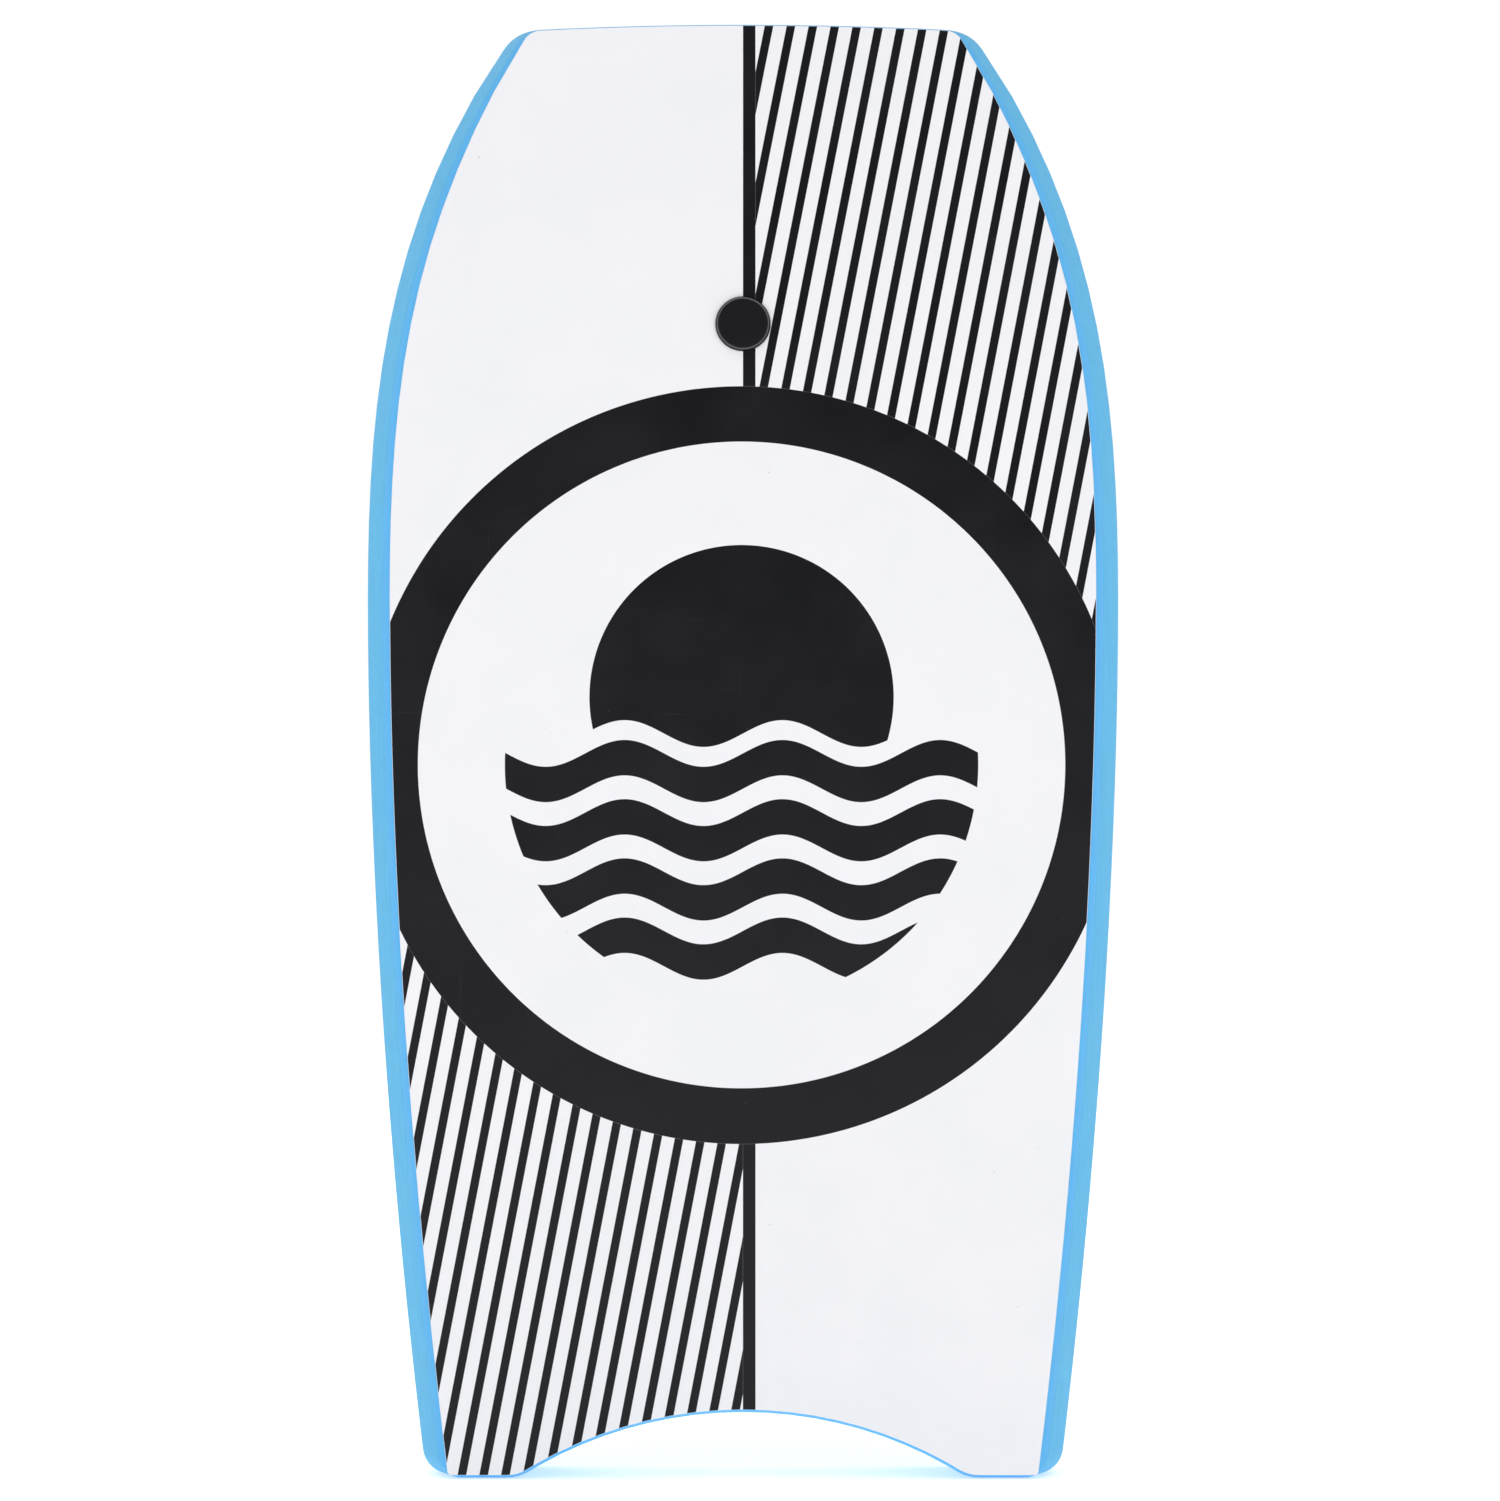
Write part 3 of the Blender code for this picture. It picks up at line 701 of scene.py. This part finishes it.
# A pale grey put on a ring at the rim: a painted highlight.
PLUG_HIGHLIGHT_GREY = (0.110, 0.113, 0.120, 1)
PLUG_SCRATCH = (0.12, 0.12, 0.13, 1)
PLUG_DUST = (0.2, 0.2, 0.2, 1)
PLUG_HIGHLIGHT_RADIUS = 0.0183  # how far from its axis the painted highlight ring lies
PLUG_SPARK = 0.00004  # how deep the mould's spark-eroded grain is
SPARK_SCALE = 2600.0  # its grains in a metre
PLUG_EDGE = 0.00012


def turned(name, profile):
    """A closed piece turned about the Z axis: a ring drawn to each (radius, height) in turn."""
    bpy.ops.object.select_all(action="DESELECT")
    radius, height = profile[0]
    bpy.ops.mesh.primitive_circle_add(
        vertices=PLUG_SIDES, radius=radius, fill_type="NGON", location=(0, 0, height)
    )
    piece = bpy.context.object
    piece.name = piece.data.name = name
    bpy.ops.object.transform_apply(location=True, rotation=True, scale=True)
    bpy.ops.object.mode_set(mode="EDIT")
    bpy.ops.mesh.select_all(action="SELECT")
    bpy.ops.mesh.region_to_loop()
    for (wide, low), (next_wide, high) in zip(profile, profile[1:]):
        bpy.ops.mesh.extrude_edges_move(TRANSFORM_OT_translate={"value": (0, 0, high - low)})
        share = next_wide / wide
        bpy.ops.transform.resize(value=(share, share, 1), center_override=(0, 0, high))
    bpy.ops.mesh.edge_face_add()
    bpy.ops.mesh.select_all(action="SELECT")
    bpy.ops.mesh.normals_make_consistent(inside=False)
    bpy.ops.object.mode_set(mode="OBJECT")
    return piece


def set_in_board(piece):
    """Moves the piece to the plug's place, its Z axis turned through the board to the deck."""
    bpy.ops.object.select_all(action="DESELECT")
    piece.select_set(True)
    bpy.context.view_layer.objects.active = piece
    piece.location = PLUG_CENTRE
    piece.rotation_euler.x = -math.pi / 2 - math.atan(PLUG_SLOPE)
    bpy.ops.object.transform_apply(location=True, rotation=True, scale=True)


plug_finish, tree, shader, where = new_finish("plug_plastic", 0.42)
marks = use_effect(tree, handling, {"Vector": where, "Speck Spacing": 0.005, "Scratch Share": 1.0})
on_plug = place(tree, "SeparateXYZ", None, {"Vector": where}).outputs
along_board = maths(tree, "MULTIPLY_ADD", on_plug["Y"], PLUG_SLOPE, on_plug["Z"])
along_board = maths(tree, "SUBTRACT", along_board, PLUG_CENTRE[2] + PLUG_SLOPE * PLUG_CENTRE[1])
off_axis = place(tree, "CombineXYZ", None, {"X": on_plug["X"], "Z": along_board}).outputs[0]
from_axis = place(tree, "VectorMath", {"operation": "LENGTH"}, {0: off_axis}).outputs[1]
off_rim = maths(tree, "ABSOLUTE", maths(tree, "SUBTRACT", from_axis, PLUG_HIGHLIGHT_RADIUS))
# A narrow ring round the rim is painted lighter and made glossier: a painted highlight.
painted_rim_highlight = graded(tree, off_rim, 0.0007, 0.0003)
colour = tinted(tree, marks["Smears"], PLUG_BLACK, PLUG_GREY)
colour = stained_or_painted_light(tree, colour, painted_rim_highlight, 0.8, PLUG_HIGHLIGHT_GREY)
colour = stained_or_painted_light(tree, colour, marks["Scratches"], 0.3, PLUG_SCRATCH)
colour = stained_or_painted_light(tree, colour, marks["Specks"], 0.2, PLUG_DUST)
tree.links.new(colour, shader.inputs["Base Color"])
gloss = graded(tree, marks["Smears"], 0.0, 1.0, 0.38, 0.48)
gloss = maths(tree, "SUBTRACT", gloss, maths(tree, "MULTIPLY", painted_rim_highlight, 0.10))
tree.links.new(gloss, shader.inputs["Roughness"])
shader.inputs["Specular IOR Level"].default_value = 0.25
spark = place(tree, "TexNoise", None, {"Vector": where, "Scale": SPARK_SCALE, "Detail": 2.0})
raise_surface(tree, shader, spark.outputs[0], PLUG_SPARK)

plug_base = turned(
    "leash_plug_disc",
    [
        (0.0169, -0.0027),
        (0.0172, -0.0024),
        (0.0175, -0.0024),
        (0.0178, -0.0028),
        (0.0182, -0.0030),
        (0.0186, -0.0028),
        (0.0190, -0.0022),
        (0.0194, -0.0016),
        (0.0197, -0.0009),
        (0.0198, -0.0003),
        (0.0152, -0.0003),
        (0.0152, 0.0440),
        (0.0128, 0.0440),
        (0.0128, 0.0003),
    ],
)
set_in_board(plug_base)
round_edges(plug_base, width=PLUG_EDGE, segments=2)
fit(plug_base, plug_finish, "plug_plastic", "leash_plug_base")

# Leash plug, deck side. The other half, screwed down into the socket: a wide flange round a
# deep cup, with a bar moulded across the cup for the leash's cord to be looped round.

BOARD_THICKNESS = 0.055
FLANGE_GAP = 0.0003
FLANGE_HEIGHT = 0.0028
CUP_RADIUS = 0.0095
CUP_DEPTH = 0.0110
BAR_WIDTH = 0.0040
BAR_HEIGHT = 0.0045
BAR_SINK = 0.0016  # how far below the flange's top the bar starts
BAR_ROUND = 0.0012
BAR_BITE = 0.001  # how far each end of the bar runs into the cup's wall

deck_face = BOARD_THICKNESS / math.sqrt(1 + PLUG_SLOPE**2)
flange_foot = deck_face + FLANGE_GAP
flange_top = flange_foot + FLANGE_HEIGHT
plug_head = turned(
    "leash_plug_cup",
    [
        (0.0115, 0.0140),
        (0.0125, 0.0150),
        (0.0125, flange_foot),
        (0.0197, flange_foot),
        (0.0200, flange_foot + 0.0004),
        (0.0200, flange_top - 0.0014),
        (0.0195, flange_top - 0.0006),
        (0.0186, flange_top),
        (0.0142, flange_top),
        (0.0139, flange_top - 0.0004),
        (0.0132, flange_top - 0.0004),
        (0.0129, flange_top),
        (0.0104, flange_top),
        (0.0098, flange_top - 0.0003),
        (CUP_RADIUS, flange_top - 0.0009),
        (CUP_RADIUS, flange_top - CUP_DEPTH),
    ],
)
bpy.ops.object.select_all(action="DESELECT")
bpy.ops.mesh.primitive_cube_add(
    size=1, location=(0, 0, flange_top - BAR_SINK - BAR_HEIGHT / 2)
)
bar = bpy.context.object
bar.scale = (2 * (CUP_RADIUS + BAR_BITE), BAR_WIDTH, BAR_HEIGHT)
bpy.ops.object.transform_apply(location=True, rotation=True, scale=True)
apply_modifier(bar, "BEVEL", width=BAR_ROUND, segments=4, limit_method="ANGLE")
apply_modifier(plug_head, "BOOLEAN", operation="UNION", solver="EXACT", object=bar)
bpy.data.objects.remove(bar)
set_in_board(plug_head)
round_edges(plug_head, width=PLUG_EDGE, segments=2)
fit(plug_head, plug_finish, "plug_plastic", "leash_plug_head")

# Room. A plain pale floor, softly lit from within, that runs out to a white surround, a broad soft
# light overhead, lamps on both sides of the slick and of the deck, and a camera square to the
# slick at half the board's height.

CAMERA_AWAY = 2.80
VIEW_WIDE = 1.0652
VIEW_MIDDLE = (0.0050, 0.5170)
SURROUND_LIGHT = 0.28  # how strongly the surround lights the board
SURROUND_SEEN = 1.02  # and how bright it looks
FLOOR_DROP = 0.0004  # just enough to keep the floor off the tail's flats
FLOOR_LOW = (0.93, 0.93, 0.93, 1)
FLOOR_HIGH = (0.95, 0.95, 0.95, 1)
FLOOR_GLOW = 0.42
LAMPS_AIM = Vector((0, 0, 0.5))

bpy.context.scene.view_settings.view_transform = "Standard"
world = bpy.data.worlds.new("studio")
bpy.context.scene.world = world
world.use_nodes = True
world_tree = world.node_tree
surround = world_tree.nodes["Background"]
seen = place(world_tree, "LightPath").outputs["Is Camera Ray"]
strength = graded(world_tree, seen, 0.0, 1.0, SURROUND_LIGHT, SURROUND_SEEN)
world_tree.links.new(strength, surround.inputs["Strength"])
surround.inputs["Color"].default_value = (1, 1, 1, 1)

bpy.ops.object.select_all(action="DESELECT")
bpy.ops.mesh.primitive_plane_add(size=60, location=(0, 0, -FLOOR_DROP))
floor = bpy.context.object
floor.name = "floor"
floor_finish, tree, shader, where = new_finish("pale_floor", 0.9)
floor_cloud = place(tree, "TexNoise", None, {"Vector": where, "Scale": 2.0, "Detail": 4.0})
floor_colour = tinted(tree, floor_cloud.outputs[0], FLOOR_LOW, FLOOR_HIGH)
tree.links.new(floor_colour, shader.inputs["Base Color"])
shader.inputs["Specular IOR Level"].default_value = 0.1
shader.inputs["Emission Color"].default_value = (1, 1, 1, 1)
shader.inputs["Emission Strength"].default_value = FLOOR_GLOW
floor.data.materials.append(floor_finish)

overhead = bpy.data.lights.new("overhead", "SUN")
overhead.energy = 1.35
overhead.angle = math.radians(70)
overhead_object = bpy.data.objects.new("overhead", overhead)
bpy.context.scene.collection.objects.link(overhead_object)
for name, at, size, power in (
    ("left_lamp", (-2.3, -2.3, 1.6), 2.2, 22),
    ("right_lamp", (2.3, -2.3, 1.6), 2.2, 22),
    ("left_deck_lamp", (-2.0, 2.6, 1.8), 1.8, 22),
    ("right_deck_lamp", (2.3, 2.4, 1.8), 2.2, 11),
):
    lamp = bpy.data.lights.new(name, "AREA")
    lamp.shape = "SQUARE"
    lamp.size = size
    lamp.energy = power
    lamp_object = bpy.data.objects.new(name, lamp)
    bpy.context.scene.collection.objects.link(lamp_object)
    lamp_object.location = at
    aim = LAMPS_AIM - Vector(at)
    lamp_object.rotation_euler = aim.to_track_quat("-Z", "Y").to_euler()

camera = bpy.data.cameras.new("camera")
camera.sensor_width = 36
camera.lens = camera.sensor_width * CAMERA_AWAY / VIEW_WIDE
camera_object = bpy.data.objects.new("camera", camera)
bpy.context.scene.collection.objects.link(camera_object)
camera_object.location = (VIEW_MIDDLE[0], cad_low.y - CAMERA_AWAY, VIEW_MIDDLE[1])
camera_object.rotation_euler = (math.pi / 2, 0, 0)
bpy.context.scene.camera = camera_object
